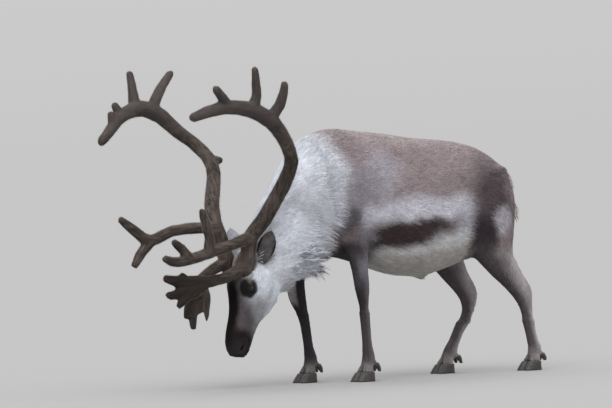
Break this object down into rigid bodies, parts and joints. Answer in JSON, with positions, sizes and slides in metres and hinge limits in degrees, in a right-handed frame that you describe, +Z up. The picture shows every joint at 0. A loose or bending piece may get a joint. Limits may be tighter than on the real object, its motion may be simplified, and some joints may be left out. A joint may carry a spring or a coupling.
{
  "type": "grazing reindeer bull, life-size still model",
  "caption": "Life-size still model of a reindeer bull in summer velvet, standing with its head down to graze.",
  "frame": {"origin": "on the floor, at the bottom centre of the whole animal's box", "axes": "+Z up, -X the way the trunk faces (the head end), -Y the animal's left side, metres"},
  "size_m": [1.9702, 0.8612, 1.3648],
  "materials": {
    "pale_coat": "matt pale blue-grey winter-white hair of the neck, cheeks and tail",
    "brown_coat": "matt taupe brown summer hair of the back, haunch and legs",
    "velvet": "matt short grey-brown velvet on the growing antlers",
    "horn": "dark horn of the hooves and dewclaws, faint satin",
    "eye": "wet dark eye, glossy"
  },
  "bodies": {
    "root": {"antler_left_base": "velvet", "antler_left_beam": "velvet", "antler_left_bez": "velvet", "antler_left_brow": "velvet", "antler_left_palm": "velvet", "antler_right_base": "velvet", "antler_right_beam": "velvet", "antler_right_bez": "velvet", "antler_right_brow": "velvet", "antler_right_palm": "velvet", "dewclaw_front_left_left": "horn", "dewclaw_front_left_right": "horn", "dewclaw_front_right_left": "horn", "dewclaw_front_right_right": "horn", "dewclaw_hind_left_left": "horn", "dewclaw_hind_left_right": "horn", "dewclaw_hind_right_left": "horn", "dewclaw_hind_right_right": "horn", "ear_left": "brown_coat", "ear_right": "brown_coat", "eye_left": "eye", "eye_right": "eye", "head": "pale_coat", "hoof_front_left_left": "horn", "hoof_front_left_right": "horn", "hoof_front_right_left": "horn", "hoof_front_right_right": "horn", "hoof_hind_left_left": "horn", "hoof_hind_left_right": "horn", "hoof_hind_right_left": "horn", "hoof_hind_right_right": "horn", "lower_leg_front_left": "brown_coat", "lower_leg_front_right": "brown_coat", "lower_leg_hind_left": "brown_coat", "lower_leg_hind_right": "brown_coat", "neck": "pale_coat", "tail": "pale_coat", "thigh_left": "brown_coat", "thigh_right": "brown_coat", "torso": "brown_coat", "upper_foreleg_left": "brown_coat", "upper_foreleg_right": "brown_coat"}
  },
  "joints": []
}
